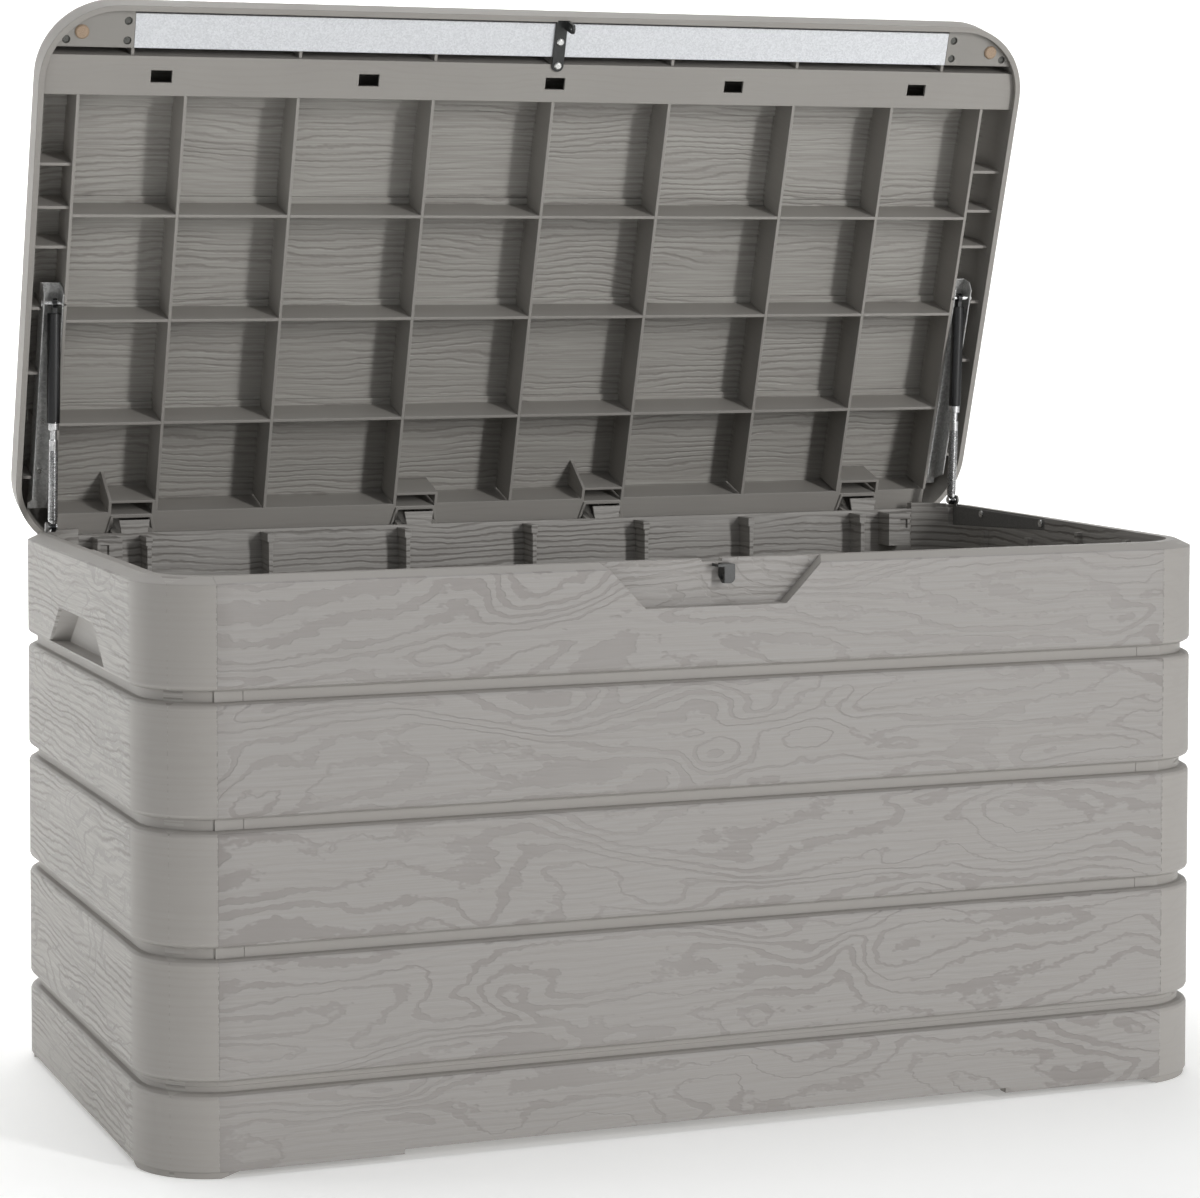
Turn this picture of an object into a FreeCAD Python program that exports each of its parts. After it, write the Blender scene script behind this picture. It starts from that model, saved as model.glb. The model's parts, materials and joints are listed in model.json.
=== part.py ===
import FreeCAD, Part
import math
import os

# Outdoor storage box with a hinged lid held open by two spring stays.
# Millimetres. X runs along the front from left to right, Y from front to back, Z up.
# The origin is on the floor under the middle of the box. The lid is modelled shut and then opened.

# Body, measured over the plank faces
body_length = 1200.0
body_depth = 640.0
corner_radius = 85.0
wall = 26.0
skin = 3.0
rim_height = 595.0
shoulder_rise = 7.0
shoulder_run = 15.0

# Planks and the grooves between them
plank_pitch = 127.0
top_plank = 111.0
groove_mouth = 22.0
groove_floor = 10.5
groove_depth = 10.0
edge_steps = 3
seam_height = 90.0
seam_inset = 69.0

# Base tray, its feet and the tongue that locates the panels
skirt_low = 7.0
skirt_high = 12.0
skirt_lip = 12.0
skirt_run = 260.0
foot_length = 71.0
foot_depth = 75.0
foot_slope = 20.0
foot_width = 44.0
foot_inset = 2.5
floor_top = 40.0
middle_foot_radius = 40.0
tongue_height = 14.0
tongue_inset = 14.0
tongue_width = 6.0
tongue_gap = 0.3

# Upright posts on the inner faces of the walls, and a wide post in each back corner
panel_foot = 23.0
post_depth = 30.0
post_thickness = 5.0
post_head = 8.0
post_head_height = 10.0
post_foot_gap = 20.0
post_top_gap = 10.0
left_post_starts = (145.0, 289.0, 456.5)
right_post_starts = (440.0, 301.0, 150.0)
middle_post = 15.5
side_post_depth = 6.0
side_post_thickness = 8.0
side_post_end = 65.0
side_post_step = 110.0
corner_post_inset = 99.0
corner_post_half = 14.5
corner_post_height = 40.0
peg_hole_shift = 6.0
peg_hole_width = 10.0
peg_hole_height = 11.0
peg_hole_depth = 3.0
peg_hole_drop = 13.0
floor_tie = 16.0

# Panel joints and their screws
key_width = 28.0
key_inset = 10.0
key_thickness = 6.0
screw_low = 60.0
screw_high = 65.0
screw_inset = 21.0
screw_cover = 1.0
screw_radius = 2.2
screw_head_radius = 4.5
screw_head_height = 3.0
screw_gap = 0.1

# Grip recess in the front rim
grip_top_half = 125.0
grip_bottom_half = 79.0
grip_drop = 48.0
grip_depth = 17.0
latch_backing = 40.0

# Side handles over the top groove
handle_top_half = 82.0
handle_bottom_half = 132.0
handle_height = 52.0
handle_taper = 24.0
handle_depth = 18.0
handle_draft = 4.0

# Hinge
hinge_inset = 18.0
hinge_drop = 12.0
open_angle = 72.5
end_hinge_inset = 135.0
middle_hinge_half = 120.0
barrel_radius = 5.0
hinge_pin_radius = 2.5
hinge_running_gap = 0.05
pin_seat_gap = 0.02
knuckle_half = 16.0
lug_width = 8.0
lug_gap = 0.5
upstand = 9.0
rebate_drop = 35.0
lug_screen = 2.5
tongue_rise = 8.0
tongue_top_half = 18.0
tongue_root_half = 14.5

# Lid shell
lid_gap = 3.0
lid_overhang = 3.0
lid_back_overhang = 2.0
lid_wall = 6.5
lid_height = 60.0
lid_skin = 3.5
lid_round = 34.0
rib_recess = 7.0
rib = 3.5
pocket_inset = 43.0
rib_steps = (121.0, 130.0, 160.0)
bar_rise = 5.0
top_groove_pitch = 124.0
top_groove_start = 116.0
top_groove_width = 12.0
top_groove_depth = 4.0
band_start = 56.0
band_end = 101.0
ledge_inset = 43.0
ledge_reach = 14.0
boss_half = 27.5
boss_rise = 14.0
window_rise = 11.0
window_drop = 3.0
frame_start = 4.0
frame_width = 2.5
frame_drop = 2.5
frame_leg = 3.0
frame_top_half = 24.0
frame_foot_half = 30.0
tongue_clearance = 6.0
gusset_rise = 33.0
end_window_inset = 135.0
middle_window_half = 225.0
window_length = 24.0
window_width = 14.0
window_start = 79.0
pocket_bar_steps = (182.0, 232.0, 278.0, 350.0, 427.0, 553.0)

# Stiffening bar under the front of the lid and its end caps
bar_inset = 102.0
bar_start = 8.0
bar_width = 39.0
bar_sheet = 1.5
bar_flange = 18.0
seat_gap = 0.3
cap_thickness = 8.0
cap_tongue = 20.0
cap_hole_radius = 4.5
cap_hole_depth = 5.0
cap_inner_screw = 8.0
cap_front_screw = 17.0
cap_back_screw = 39.0
cap_outer_screw = 26.0
cap_screw_length = 26.0
bumper_inset = 43.0
bumper_start = 30.0
bumper_radius = 8.0
bumper_rest_gap = 0.3

# Latch strap on the lid and staple on the body
latch_x = 0.0
strap_half = 7.0
strap_sheet = 2.5
strap_start = 3.0
strap_length = 61.0
strap_front_rivet = 26.0
tab_sheet = 3.0
tab_drop = 25.0
tab_depth = 11.0
lock_hole_radius = 3.5
lock_hole_start = 8.5
lock_hole_drop = 18.5
staple_gap = 1.0
staple_sheet = 3.0
staple_width = 12.0
staple_start = 1.0
staple_drop = 5.0
staple_height = 20.0
staple_reach = 1.0

# Spring stays, placed from the hinge line
stay_inset = 5.5
stay_top_reach = 277.5
stay_top_rise = 21.0
stay_foot_reach = 46.0
stay_foot_rise = 18.0
stay_tube_radius = 7.5
stay_tube_bore = 6.3
stay_tube_start = 11.0
stay_tube_length = 124.0
gland_length = 8.0
rod_radius = 4.0
rod_length = 170.0
sleeve_radius = 5.2
sleeve_gap = 19.0
piston_length = 8.0
sliding_gap = 0.05
eye_radius = 6.0
eye_width = 5.2
stay_pin_radius = 3.0
pin_head_radius = 4.5
channel_half = 11.5
channel_shift = 2.0
channel_sheet = 1.5
channel_front_reach = 19.5
channel_length = 273.0
channel_rise = 29.0
channel_cut = 8.0
channel_taper = 12.0
channel_rivet_starts = (166.0, 226.0)
channel_boss = 25.0
boss_radius = 6.0
bracket_sheet = 2.5
bracket_sink = 2.8
foot_room = 20.0
foot_room_drop = 5.0
bracket_length = 235.5
bracket_drop = 2.0
bracket_front_height = 12.0
bracket_back_height = 24.0
bracket_rivet_starts = (9.0, 159.0)
bracket_rivet_drop = 5.0
ear_radius = 5.5
rivet_radius = 2.5
rivet_head_radius = 4.5
rivet_head_height = 2.0
rivet_grip = 12.0

# Derived sizes
half_length = body_length / 2
half_depth = body_depth / 2
shoulder_z = rim_height - shoulder_rise
straight_x = half_length - corner_radius
straight_y = half_depth - corner_radius
seam_x = half_length - seam_inset
groove_levels = [shoulder_z - top_plank - plank_pitch * i for i in range(3)]
inner_x = half_length - wall
inner_y = half_depth - wall
post_low = seam_height + post_foot_gap
post_top = rim_height - post_top_gap
grip_bottom = rim_height - grip_drop
handle_lip = groove_levels[0] + groove_mouth / 2 - seat_gap
handle_top = groove_levels[0] + handle_height
hinge_y = half_depth - hinge_inset
hinge_z = rim_height - hinge_drop
hinge_places = (end_hinge_inset - half_length, -middle_hinge_half, middle_hinge_half,
                half_length - end_hinge_inset)
rebate_floor = rim_height - rebate_drop
rebate_y = inner_y + upstand
lid_low = shoulder_z + lid_gap
lid_top = lid_low + lid_height
lid_ceiling = lid_top - lid_skin
lid_inside = lid_low + rib_recess
root_z = lid_ceiling - top_groove_depth
pocket_rib = half_length - pocket_inset
top_grooves = [top_groove_start - half_depth + top_groove_pitch * i for i in range(4)]
band_front = band_start - half_depth
band_back = band_end - half_depth
ledge_front = half_depth - ledge_inset
ledge_back = half_depth - ledge_reach
window_places = (end_window_inset - half_length, -middle_window_half, 0.0, middle_window_half,
                 half_length - end_window_inset)
window_y = window_start - half_depth
bar_half = half_length - bar_inset
bar_front = bar_start - half_depth
bar_back = bar_front + bar_width
cap_screws = ((half_length - cap_outer_screw, cap_back_screw - half_depth),
              (bar_half + cap_inner_screw, cap_front_screw - half_depth),
              (bar_half + cap_inner_screw, cap_back_screw - half_depth))
bumper_x = half_length - bumper_inset
bumper_y = bumper_start - half_depth
strap_front = strap_start - half_depth
strap_back = strap_front + strap_length
tab_x = latch_x + strap_half - tab_sheet
lock_hole_y = lock_hole_start - half_depth
lock_hole_z = rim_height - lock_hole_drop
staple_x = latch_x + strap_half + 2 * staple_gap
staple_front = staple_start - half_depth
staple_high = rim_height - staple_drop
staple_low = staple_high - staple_height
stay_x = inner_x - stay_inset
stay_top_y = hinge_y - stay_top_reach
stay_top_z = hinge_z + stay_top_rise
channel_x = stay_x + channel_shift
stay_foot_y = hinge_y - stay_foot_reach
stay_foot_z = hinge_z + stay_foot_rise
channel_front = stay_top_y - channel_front_reach
channel_back = channel_front + channel_length
channel_base_z = lid_low + channel_rise
channel_edge_z = lid_inside
channel_flange_end = channel_back - channel_cut
channel_rivets = [channel_front + start for start in channel_rivet_starts]
bracket_back = stay_foot_y + ear_radius
bracket_front = bracket_back - bracket_length
bracket_high = rim_height - bracket_drop
bracket_rivets = [bracket_front + start for start in bracket_rivet_starts]
bracket_rivet_z = bracket_high - bracket_rivet_drop
ear_x = inner_x - bracket_sheet + bracket_sink
boss_start = ledge_front - boss_rise
vec = FreeCAD.Vector
up = vec(0, 0, 1)
along_x = vec(1, 0, 0)
along_y = vec(0, 1, 0)


def box(x0, x1, y0, y1, z0, z1):
    return Part.makeBox(x1 - x0, y1 - y0, z1 - z0, vec(x0, y0, z0))


def prism(points, direction):
    face = Part.Face(Part.makePolygon([vec(*p) for p in points] + [vec(*points[0])]))
    return face.extrude(direction)


def rod(start, direction, radius, length):
    return Part.makeCylinder(radius, length, vec(*start), direction)


def fuse(shapes):
    first = shapes[0]
    if len(shapes) == 1:
        return first
    return first.fuse(shapes[1:]).removeSplitter()


def group(shapes):
    return Part.makeCompound(shapes)


def mirror_x(shape):
    return shape.mirror(vec(0, 0, 0), along_x)


def mirror_y(shape):
    return shape.mirror(vec(0, 0, 0), along_y)


# A rounded rectangle about the origin, extruded upwards
def rounded_block(half_x, half_y, radius, z0, z1):
    block = box(-half_x, half_x, -half_y, half_y, z0, z1)
    corners = [e for e in block.Edges if abs(e.Vertexes[0].Z - e.Vertexes[-1].Z) > (z1 - z0) / 2]
    return block.makeFillet(radius, corners)


# A rounded rectangle that tapers between two insets from the plank faces
def tapered_block(inset_low, inset_high, z0, z1):
    wires = []
    for inset, z in ((inset_low, z0), (inset_high, z1)):
        block = rounded_block(half_length - inset, half_depth - inset, corner_radius - inset, z, z + 1)
        faces = [f for f in block.Faces if abs(f.CenterOfMass.z - z) < 1e-6]
        wires.append(faces[0].OuterWire)
    return Part.makeLoft(wires, True, True)


def body_block(inset, z0, z1):
    return rounded_block(half_length - inset, half_depth - inset, corner_radius - inset, z0, z1)


# Places on both sides of the middle, and one in the middle
def both_ways(places):
    return sorted([-x for x in places] + [0.0] + list(places))


def stepped_in(start, steps):
    return [start - sum(steps[:i]) for i in range(len(steps) + 1)]


posts = ([start - half_length for start in left_post_starts] + [middle_post]
         + [half_length - start for start in right_post_starts])
side_posts = [sign * (straight_y - side_post_end - side_post_step * i) for sign in (-1, 1) for i in (0, 1)]
rib_places = both_ways(stepped_in(pocket_rib - rib_steps[0], rib_steps[1:]))
all_ribs = [-pocket_rib] + rib_places + [pocket_rib]
screw_first = seam_height + screw_low
screw_last = rim_height - screw_high
screw_levels = (screw_first, (screw_first + screw_last) / 2, screw_last)
pocket_bars = [step - half_depth for step in pocket_bar_steps]


# Rounded plank edge as points (depth behind the face, height), from the face to the groove's floor
def edge_curve(offset, mouth, floor):
    turns = [math.pi / 2 * i / edge_steps for i in range(edge_steps + 1)]
    rise = floor - mouth
    return [(offset + groove_depth * (1 - math.cos(t)), mouth + rise * math.sin(t)) for t in turns]


# The edges of the planks under and over a groove
def under_groove(offset, level):
    return edge_curve(offset, level - (groove_mouth + offset) / 2, level - (groove_floor + offset) / 2)


def over_groove(offset, level):
    curve = edge_curve(offset, level + (groove_mouth + offset) / 2, level + (groove_floor + offset) / 2)
    return curve[::-1]


def plank_outline(offset, high_points):
    points = []
    for level in reversed(groove_levels):
        points += under_groove(offset, level) + over_groove(offset, level)
    return points + high_points


def wall_section():
    rim = [(0, shoulder_z), (shoulder_run, rim_height), (wall, rim_height), (wall, seam_height)]
    return [(groove_depth, seam_height)] + over_groove(0, seam_height) + plank_outline(0, rim)


def void_section():
    low = seam_height + panel_foot
    top = [(skin, shoulder_z - skin / 2), (shoulder_run, rim_height - skin),
           (wall - skin, rim_height - skin), (wall - skin, low)]
    return [(skin, low)] + plank_outline(skin, top)


# A section carried along the front from x0 to x1
def front_run(section, x0, x1):
    return prism([(x0, n - half_depth, z) for n, z in section], vec(x1 - x0, 0, 0))


# A section carried round the front left corner, then along half of the left side
def front_corner(section):
    start = [(-straight_x, n - half_depth, z) for n, z in section]
    face = Part.Face(Part.makePolygon([vec(*p) for p in start] + [vec(*start[0])]))
    return face.revolve(vec(-straight_x, -straight_y, 0), up, -90)


def left_run(section):
    side = prism([(n - half_length, -straight_y, z) for n, z in section], vec(0, straight_y, 0))
    half = fuse([front_corner(section), side])
    return fuse([half, mirror_y(half)])


def before_seam(shape):
    return shape.common(box(-half_length - 1, -seam_x, -half_depth - 1, half_depth + 1, 0, lid_top))


def after_seam(shape):
    return shape.common(box(-seam_x, 0, -half_depth - 1, half_depth + 1, 0, lid_top))


# The front wall between the seams, with the start of each corner
def front_wall(section):
    end = after_seam(front_corner(section))
    return fuse([front_run(section, -straight_x, straight_x), end, mirror_x(end)])


# Upright posts on the inner face of the back wall
def wall_posts():
    near = inner_y - post_depth
    pieces = []
    for x in posts:
        half = post_thickness / 2
        pieces.append(box(x - half, x + half, near, inner_y + 1, post_low, post_top))
        half = post_head / 2
        pieces.append(box(x - half, x + half, near, inner_y + 1, post_top - post_head_height, post_top))
    return pieces


# Wide post beside the corner, with a square hole for a peg
def corner_post():
    x = half_length - corner_post_inset
    near = inner_y - post_depth
    post = box(x - corner_post_half, x + corner_post_half, near, inner_y + 1,
               post_top - corner_post_height, post_top)
    x0 = x + peg_hole_shift - peg_hole_width / 2
    z1 = post_top - peg_hole_drop + peg_hole_height / 2
    return post.cut(box(x0, x0 + peg_hole_width, near - 1, near + peg_hole_depth, z1 - peg_hole_height, z1))


# Shallow posts on the left wall; the rear ones end under the stay's bracket
def side_wall_posts():
    pieces = []
    for y in side_posts:
        top = bracket_high - bracket_back_height - seat_gap if y > bracket_front else post_top
        pieces.append(box(-inner_x - 1, side_post_depth - inner_x, y - side_post_thickness / 2,
                          y + side_post_thickness / 2, post_low, top))
    return pieces


# Groove under the panels that drops over the tongue of the base
def tongue_cut():
    outer = body_block(tongue_inset - tongue_gap, seam_height, seam_height + tongue_height + tongue_gap)
    inset = tongue_inset + tongue_width + tongue_gap
    inner = body_block(inset, seam_height - 1, seam_height + tongue_height + tongue_gap + 1)
    return outer.cut(inner)


# The side panels' upright key, which slides into the ends of the front and back panels
def key_block(grow):
    low = seam_height + tongue_height + skin - grow
    high = shoulder_z - skin - top_plank / 3 + grow
    return box(-seam_x - 1, -seam_x + key_width + grow, -half_depth + key_inset - grow,
               -half_depth + key_inset + key_thickness + grow, low, high)


def screw_at(x, z, side):
    reach = wall - key_inset - screw_cover
    y = inner_y * side
    inward = vec(0, side, 0)
    head = rod((x, y - side * screw_head_height, z), inward, screw_head_radius, screw_head_height)
    return fuse([head, rod((x, y, z), inward, screw_radius, reach)])


def screw_places():
    return [(sx * (seam_x - screw_inset), z, side) for sx in (-1, 1) for side in (-1, 1)
            for z in screw_levels]


def screw_holes():
    reach = wall - key_inset - screw_cover + screw_gap
    radius = screw_radius + screw_gap
    return [rod((x, side * (inner_y - 1), z), vec(0, side, 0), radius, reach + 1)
            for x, z, side in screw_places()]


def panel_screws():
    return group([screw_at(x, z, side) for x, z, side in screw_places()])


def grip_recess(grow):
    front = -half_depth - 1
    slope = (grip_top_half - grip_bottom_half) / (rim_height - grip_bottom)
    low_half = grip_bottom_half + grow
    top_half = grip_top_half + grow + slope
    face = [(-low_half, front, grip_bottom - grow), (low_half, front, grip_bottom - grow),
            (top_half, front, rim_height + 1), (-top_half, front, rim_height + 1)]
    return prism(face, vec(0, 1 + grip_depth + grow, 0))


def front_panel():
    solid = front_wall(wall_section())
    end = seam_x - 2 * skin - key_width
    void = front_run(void_section(), -end, end)
    keep = [grip_recess(skin)]
    cuts = [grip_recess(0)]
    notch = strap_half + tab_sheet
    cuts.append(box(latch_x - notch, latch_x + notch + tab_sheet, -half_depth, -inner_y + 2,
                    rim_height - strap_sheet - 1, rim_height + 1))
    cuts.append(tongue_cut())
    cuts += [key_block(tongue_gap), mirror_x(key_block(tongue_gap))]
    cuts += screw_holes()
    cuts += [rod((x, -half_depth, z), along_y, rivet_radius + screw_gap, wall)
             for x, z in staple_rivet_places()]
    keep.append(box(latch_x - latch_backing, latch_x + latch_backing, -half_depth, -inner_y,
                    grip_bottom, rim_height))
    solid = fuse([solid] + [mirror_y(post) for post in wall_posts()])
    return solid.cut(cuts + [void.cut(keep)])


# The back is cut down behind the upstand, where the rear of the lid swings
def rear_rebate():
    return box(-half_length, half_length, rebate_y, half_depth + 1, rebate_floor, rim_height + 1)


def knuckle(x):
    block = box(x - knuckle_half, x + knuckle_half, inner_y, hinge_y + barrel_radius,
                rebate_floor - 1, hinge_z)
    barrel = rod((x - knuckle_half, hinge_y, hinge_z), along_x, barrel_radius, 2 * knuckle_half)
    top = rim_height + tongue_rise
    face = [(x - tongue_root_half, inner_y, hinge_z), (x + tongue_root_half, inner_y, hinge_z),
            (x + tongue_top_half, inner_y, top), (x - tongue_top_half, inner_y, top)]
    return [block, barrel, prism(face, vec(0, lug_screen, 0))]


# The back panel's rim is lower than the others, and its front skin hides the lid's lugs
def back_panel():
    solid = mirror_y(front_wall(wall_section()))
    end = seam_x - 2 * skin - key_width
    void = mirror_y(front_run(void_section(), -end, end))
    void = void.cut(box(-half_length, half_length, 0, half_depth, rebate_floor - skin, rim_height))
    relief = lug_width + knuckle_half + lug_gap + skin
    low = hinge_z - barrel_radius - 1
    cuts = [box(x - relief, x + relief, inner_y + lug_screen, rebate_y + 1, low, rim_height + 1)
            for x in hinge_places]
    cuts += [rear_rebate(), tongue_cut()]
    cuts.append(box(-half_length, half_length, 0, half_depth, shoulder_z, rim_height + 1))
    cuts += [mirror_y(key_block(tongue_gap)), mirror_x(mirror_y(key_block(tongue_gap)))]
    cuts += screw_holes()
    panel = solid.cut(cuts + [void])
    panel = fuse([panel, corner_post(), mirror_x(corner_post())] + wall_posts()
                 + [piece for x in hinge_places for piece in knuckle(x)])
    bores = [rod((x - knuckle_half - 1, hinge_y, hinge_z), along_x, hinge_pin_radius + pin_seat_gap,
                 2 * knuckle_half + 2) for x in hinge_places]
    return panel.cut(bores)


# Handle: a trapezoid pocket over the top groove
def handle_pocket(grow):
    low_half = handle_bottom_half + grow
    top_half = handle_top_half + grow
    top = handle_top + grow
    mouth = trapezoid(-half_length - 1, low_half, top_half, handle_lip - grow, top)
    inner = trapezoid(-half_length + handle_depth + grow, low_half - handle_taper, top_half - handle_taper,
                      handle_lip - grow, top - handle_draft)
    return Part.makeLoft([mouth, inner], True, True)


def trapezoid(x, low_half, top_half, low, top):
    corners = [vec(x, -low_half, low), vec(x, low_half, low), vec(x, top_half, top), vec(x, -top_half, top)]
    return Part.makePolygon(corners + [corners[0]])


def bracket_rivet_holes():
    radius = rivet_radius + screw_gap
    depth = bracket_sheet + rivet_grip + seat_gap
    return [rod((-ear_x, y, bracket_rivet_z), vec(-1, 0, 0), radius, depth) for y in bracket_rivets]


# The bracket is let into the wall, and the rim's back corner is notched where the stay's foot swings
def bracket_seat():
    deep = -ear_x - bracket_sheet
    high = rim_height + 1
    low = bracket_high - seat_gap
    front = bracket_front - seat_gap
    back = bracket_back + seat_gap
    seat = prism([(deep, front, high), (deep, back, high), (deep, back, low - bracket_back_height),
                  (deep, front, low - bracket_front_height)], vec(-straight_x - deep, 0, 0))
    notch = box(deep, -straight_x, straight_y, stay_foot_y + foot_room, rim_height - foot_room_drop, high)
    return fuse([seat, notch])


def left_panel():
    solid = before_seam(left_run(wall_section()))
    solid = fuse([solid, key_block(0), mirror_y(key_block(0))])
    void = left_run(void_section())
    void = void.common(box(-half_length, -seam_x - 2 * skin, -half_depth, half_depth, 0, lid_top))
    keep = [handle_pocket(skin)]
    keep.append(box(-half_length, half_length, rebate_y - skin, half_depth,
                    rebate_floor - skin, rim_height))
    keep.append(box(-inner_x - wall / 2 - skin, -straight_x, bracket_front - skin,
                    stay_foot_y + foot_room + skin, bracket_high - bracket_back_height - skin, rim_height))
    cuts = [handle_pocket(0), rear_rebate(), tongue_cut(), bracket_seat()]
    cuts += screw_holes() + bracket_rivet_holes()
    return fuse([solid.cut(cuts + [void.cut(keep)])] + side_wall_posts())


# One corner foot: a short run of the skirt with sloped inner ends
def foot():
    ring = body_block(foot_inset, 0, skirt_high).cut(body_block(foot_width, -1, skirt_high + 1))
    rise = foot_slope * skirt_high / skirt_low
    foot_inner = half_length - foot_length
    foot_side_inner = half_depth - foot_depth
    along = prism([(foot_inner - rise, -half_depth, skirt_high), (foot_inner, -half_depth, 0),
                   (half_length, -half_depth, 0), (half_length, -half_depth, skirt_high)],
                  vec(0, body_depth, 0))
    across = prism([(-half_length, foot_side_inner - rise, skirt_high), (-half_length, foot_side_inner, 0),
                    (-half_length, half_depth, 0), (-half_length, half_depth, skirt_high)],
                   vec(body_length, 0, 0))
    return ring.common(along).common(across)


def base_tray():
    edge = under_groove(0, seam_height)
    outer = body_block(0, skirt_high, edge[0][1])
    for low, high in zip(edge, edge[1:]):
        outer = outer.fuse(tapered_block(low[0], high[0], low[1], high[1]))
    outer = outer.fuse(body_block(groove_depth, edge[-1][1], seam_height))
    tray = outer.cut(body_block(wall, floor_top, seam_height + 1))
    tongue_top = seam_height + tongue_height
    tongue = body_block(tongue_inset, seam_height, tongue_top)
    tongue = tongue.cut(body_block(tongue_inset + tongue_width, seam_height - 1, tongue_top + 1))
    lip = body_block(0, skirt_low, skirt_high).cut(body_block(skirt_lip, skirt_low - 1, skirt_high + 1))
    gap = half_length - skirt_run
    lip = lip.cut(box(-gap, gap, -half_depth, half_depth, 0, skirt_high))
    quarter = foot()
    feet = [quarter, mirror_x(quarter), mirror_y(quarter), mirror_x(mirror_y(quarter))]
    feet.append(rod((0, 0, 0), up, middle_foot_radius, skirt_high))
    ties = [box(x - floor_tie / 2, x + floor_tie / 2, -half_depth, half_depth, 0, floor_top)
            for x in rib_places]
    ties.append(box(-half_length, half_length, -floor_tie / 2, floor_tie / 2, 0, floor_top))
    floor_void = body_block(skin, skirt_high + skin, floor_top - skin).cut(ties)
    wall_void = body_block(skin, floor_top - skin, edge[0][1] - skin)
    wall_void = wall_void.cut(body_block(wall - skin, floor_top - 2 * skin, seam_height))
    return fuse([tray, tongue, lip] + feet).cut([floor_void, wall_void])


def hinge_pins():
    half = knuckle_half + lug_gap + lug_width
    return group([rod((x - half, hinge_y, hinge_z), along_x, hinge_pin_radius, 2 * half)
                  for x in hinge_places])


# Staple: a folded box with a side cheek that holds the lock hole, and a flange over the latch tab
def staple_rivet_places():
    x = staple_x + (staple_sheet + staple_width) / 2
    middle = (staple_low + staple_high) / 2
    return [(x, middle)]


def staple():
    x0 = staple_x
    x1 = x0 + staple_width
    back = -half_depth + grip_depth
    sheet = staple_sheet
    cheek = [(x0, staple_front, staple_high), (x0, back, staple_high), (x0, back, staple_low + 2 * sheet),
             (x0, back - 3 * sheet, staple_low), (x0, staple_front, staple_low)]
    side = prism(cheek, vec(sheet, 0, 0))
    front = box(x0, x1, staple_front, staple_front + sheet, staple_low, staple_high)
    edges = [e for e in front.Edges if abs(e.CenterOfMass.z - staple_low) < 1e-6
             and abs(e.CenterOfMass.x - x1) < 1e-6]
    front = front.makeFillet(staple_width / 2, edges)
    back_plate = box(x0, x1, back - sheet, back, staple_low + 2 * sheet, staple_high)
    flange = box(tab_x - staple_gap - staple_reach, x1, staple_front, back, staple_high - sheet, staple_high)
    slot = box(tab_x - staple_gap, x0, strap_front - 1, back + 1, staple_high - sheet - 1, staple_high + 1)
    solid = fuse([side, front, back_plate, flange]).cut(slot)
    hole = rod((x0 - 1, lock_hole_y, lock_hole_z), along_x, lock_hole_radius, sheet + 2)
    rivets = [rod((x, back - sheet - 1, z), along_y, rivet_radius + screw_gap, sheet + 2)
              for x, z in staple_rivet_places()]
    return solid.cut([hole] + rivets)


def staple_rivets():
    pieces = []
    back = -half_depth + grip_depth
    grip = staple_sheet + wall - grip_depth - screw_cover
    for x, z in staple_rivet_places():
        start = back - staple_sheet - rivet_head_height
        head = rod((x, start, z), along_y, rivet_head_radius, rivet_head_height)
        pieces.append(fuse([head, rod((x, back - staple_sheet, z), along_y, rivet_radius, grip)]))
    return group(pieces)


# Wall bracket of a stay: a tapered strip let into the wall, with an ear for the foot above the rim
def stay_bracket():
    strip = prism([(ear_x, bracket_front, bracket_high), (ear_x, bracket_back, bracket_high),
                   (ear_x, bracket_back, bracket_high - bracket_back_height),
                   (ear_x, bracket_front, bracket_high - bracket_front_height)], vec(bracket_sheet, 0, 0))
    riser = box(ear_x, ear_x + bracket_sheet, stay_foot_y - ear_radius / 2, bracket_back,
                bracket_high, stay_foot_z)
    ear = rod((ear_x, stay_foot_y, stay_foot_z), along_x, ear_radius, bracket_sheet)
    radius = rivet_radius + screw_gap
    holes = [rod((ear_x - 1, y, bracket_rivet_z), along_x, radius, bracket_sheet + 2)
             for y in bracket_rivets]
    return fuse([strip, riser, ear]).cut(holes)


def wall_rivets():
    pieces = []
    for y in bracket_rivets:
        start = ear_x - rivet_head_height
        head = rod((start, y, bracket_rivet_z), along_x, rivet_head_radius, rivet_head_height)
        shank = rod((ear_x, y, bracket_rivet_z), along_x, rivet_radius, bracket_sheet + rivet_grip)
        pieces.append(fuse([head, shank]))
    return group(pieces + [mirror_x(p) for p in pieces])


# Lid shell, modelled shut
def lid_outline(inset, z0, z1):
    half_x = half_length + lid_overhang - inset
    front = -half_depth - lid_back_overhang + inset
    block = box(-half_x, half_x, front, half_depth + lid_back_overhang - inset, z0, z1)
    corners = [e for e in block.Edges if abs(e.Vertexes[0].Z - e.Vertexes[-1].Z) > (z1 - z0) / 2]
    return block.makeFillet(corner_radius + lid_overhang - inset, corners)


def round_top(block, radius, z):
    edges = [e for e in block.Edges if all(abs(v.Z - z) < 1e-6 for v in e.Vertexes)]
    return block.makeFillet(radius, edges)


def lid_cavity():
    return round_top(lid_outline(lid_wall, lid_low - 1, lid_ceiling), lid_round - lid_wall, lid_ceiling)


def lid_grooves():
    pieces = []
    half = top_groove_width / 2
    floor = half - top_groove_depth / 2
    low = lid_top - top_groove_depth
    for y in top_grooves:
        start = -2 * half_length
        pieces.append(prism([(start, y - half, lid_top), (start, y - floor, low), (start, y + floor, low),
                             (start, y + half, lid_top)], vec(4 * half_length, 0, 0)))
    return pieces


# Long ribs run from front to back, cross ribs between them. The shell keeps the long ones' roots;
# below the roots each rib is a solid of its own, so that the cells between them stay open
def long_ribs(low, high):
    return [box(x - rib / 2, x + rib / 2, band_back, ledge_front, low, high) for x in all_ribs]


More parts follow.
